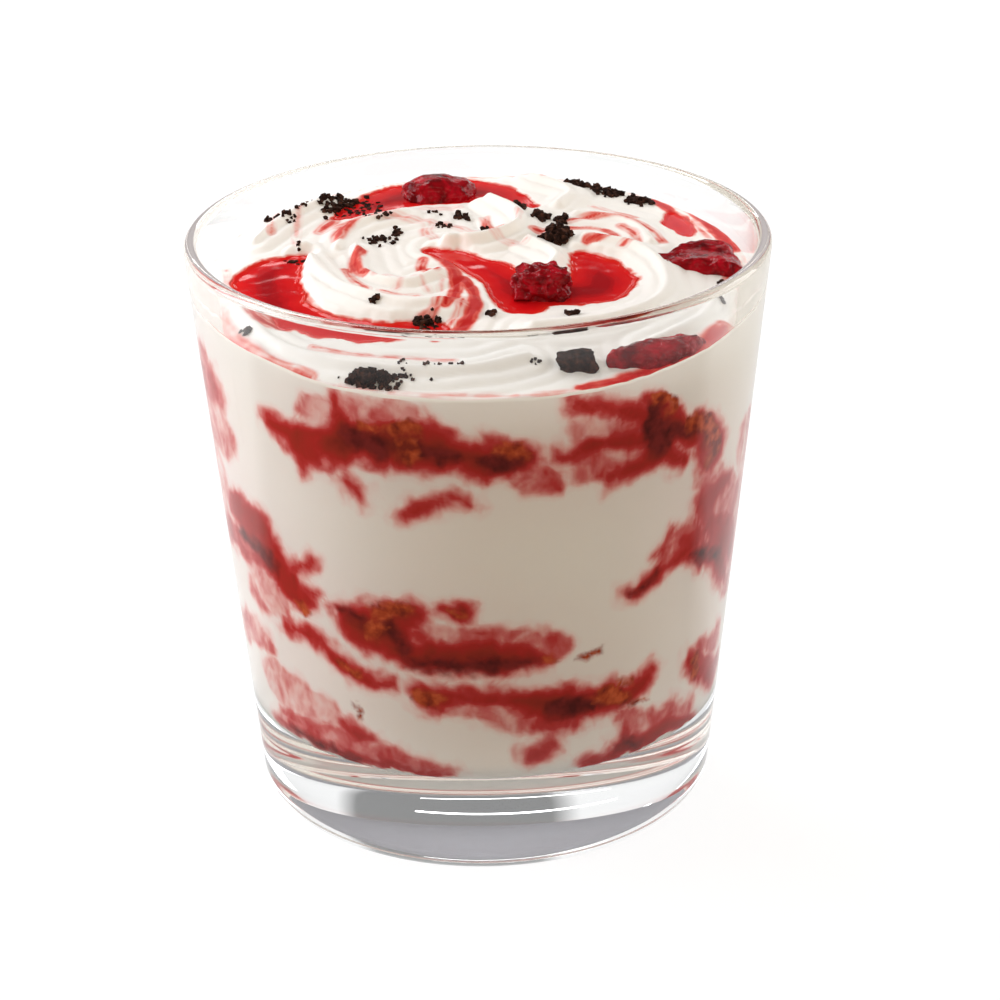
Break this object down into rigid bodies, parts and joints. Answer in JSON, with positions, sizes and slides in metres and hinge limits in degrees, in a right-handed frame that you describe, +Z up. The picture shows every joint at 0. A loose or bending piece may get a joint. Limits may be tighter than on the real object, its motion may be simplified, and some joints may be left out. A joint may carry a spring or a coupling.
{
  "type": "soft serve cup",
  "caption": "Clear tumbler with a heavy base, filled with soft serve rippled with red fruit sauce and topped with sauce, fruit and dark biscuit.",
  "frame": {"origin": "centre of the foot, on the surface that the glass stands on", "axes": "+Z up along the glass, -Y towards the side shown in the picture, +X to that side's right"},
  "size_m": [0.09, 0.09, 0.093],
  "materials": {
    "clear_glass": "clear, pressed soda-lime glass, polished",
    "cream": "satin, whipped and swirled",
    "layer_sauce": "sauce and crumbs pressed against the glass",
    "sauce": "wet, translucent fruit sauce",
    "fruit": "wet cooked fruit",
    "biscuit": "dry dark biscuit"
  },
  "bodies": {
    "root": {"glass_tumbler": "clear_glass", "soft_serve": "cream", "sauce_layer_upper": "layer_sauce", "sauce_layer_middle": "layer_sauce", "sauce_layer_lower": "layer_sauce", "sauce_layer_floor": "layer_sauce", "sauce_pool_left": "sauce", "sauce_pool_back": "sauce", "sauce_pool_centre": "sauce", "sauce_streak_right": "sauce", "fruit_piece_back": "fruit", "fruit_piece_centre": "fruit", "fruit_piece_right": "fruit", "fruit_piece_front": "fruit", "biscuit_chunk_front": "biscuit", "biscuit_lump_centre": "biscuit", "biscuit_lump_front_left": "biscuit"}
  },
  "joints": []
}
